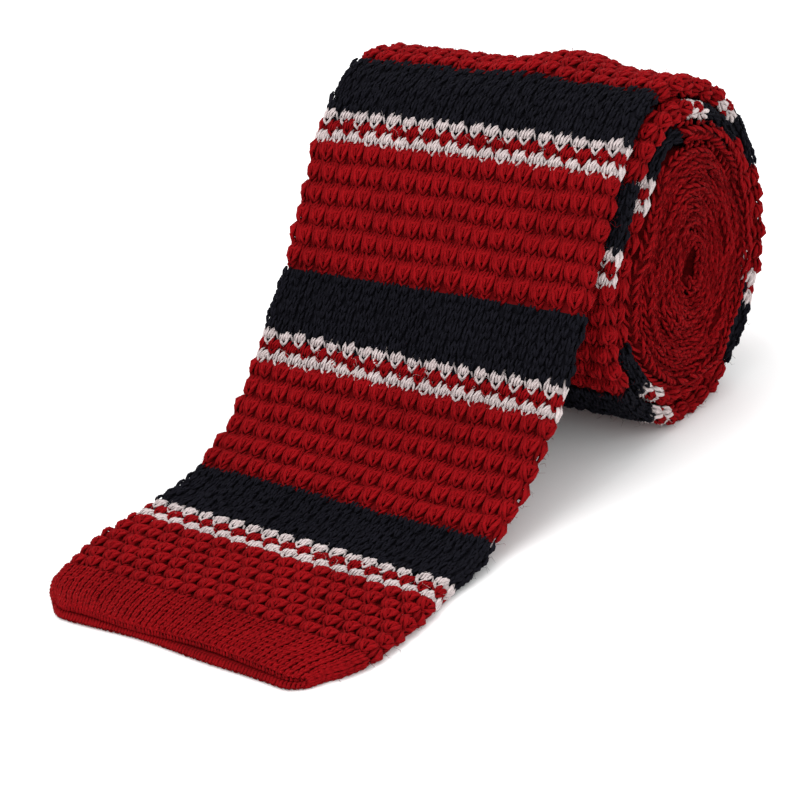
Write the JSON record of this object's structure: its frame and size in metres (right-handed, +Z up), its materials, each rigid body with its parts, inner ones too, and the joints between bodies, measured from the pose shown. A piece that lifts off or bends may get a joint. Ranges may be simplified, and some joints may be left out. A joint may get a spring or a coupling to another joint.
{
  "type": "knit tie",
  "caption": "Square-ended knitted wool tie with cross stripes, rolled up from its narrow end, its wide blade let down in front and lying on the table.",
  "frame": {"origin": "middle of the underside of the space the rolled tie takes up, on the surface it lies on", "axes": "+X across the tie, along the roll's axis; -Y from the roll towards the hem; +Z up"},
  "size_m": [0.065, 0.1402, 0.063],
  "materials": {
    "red_wool": "matt knitted wool, deep red, slightly fuzzy",
    "navy_wool": "matt knitted wool, near-black navy, slightly fuzzy",
    "white_wool": "matt knitted wool, off-white, slightly fuzzy"
  },
  "bodies": {
    "root": {"hem": "red_wool", "red_band_01": "red_wool", "trim_band_01": "white_wool", "navy_band_01": "navy_wool", "red_band_02": "red_wool", "trim_band_02": "white_wool", "navy_band_02": "navy_wool", "red_band_03": "red_wool", "trim_band_03": "white_wool", "navy_band_03": "navy_wool", "red_band_04": "red_wool", "trim_band_04": "white_wool", "navy_band_04": "navy_wool", "red_band_05": "red_wool", "trim_band_05": "white_wool", "navy_band_05": "navy_wool", "red_band_06": "red_wool", "trim_band_06": "white_wool", "navy_band_06": "navy_wool", "red_band_07": "red_wool", "trim_band_07": "white_wool", "navy_band_07": "navy_wool", "red_band_08": "red_wool", "trim_band_08": "white_wool", "navy_band_08": "navy_wool", "red_band_09": "red_wool", "trim_band_09": "white_wool", "navy_band_09": "navy_wool", "red_band_10": "red_wool", "trim_band_10": "white_wool", "navy_band_10": "navy_wool", "red_band_11": "red_wool", "trim_band_11": "white_wool", "navy_band_11": "navy_wool", "neckband": "red_wool"}
  },
  "joints": []
}
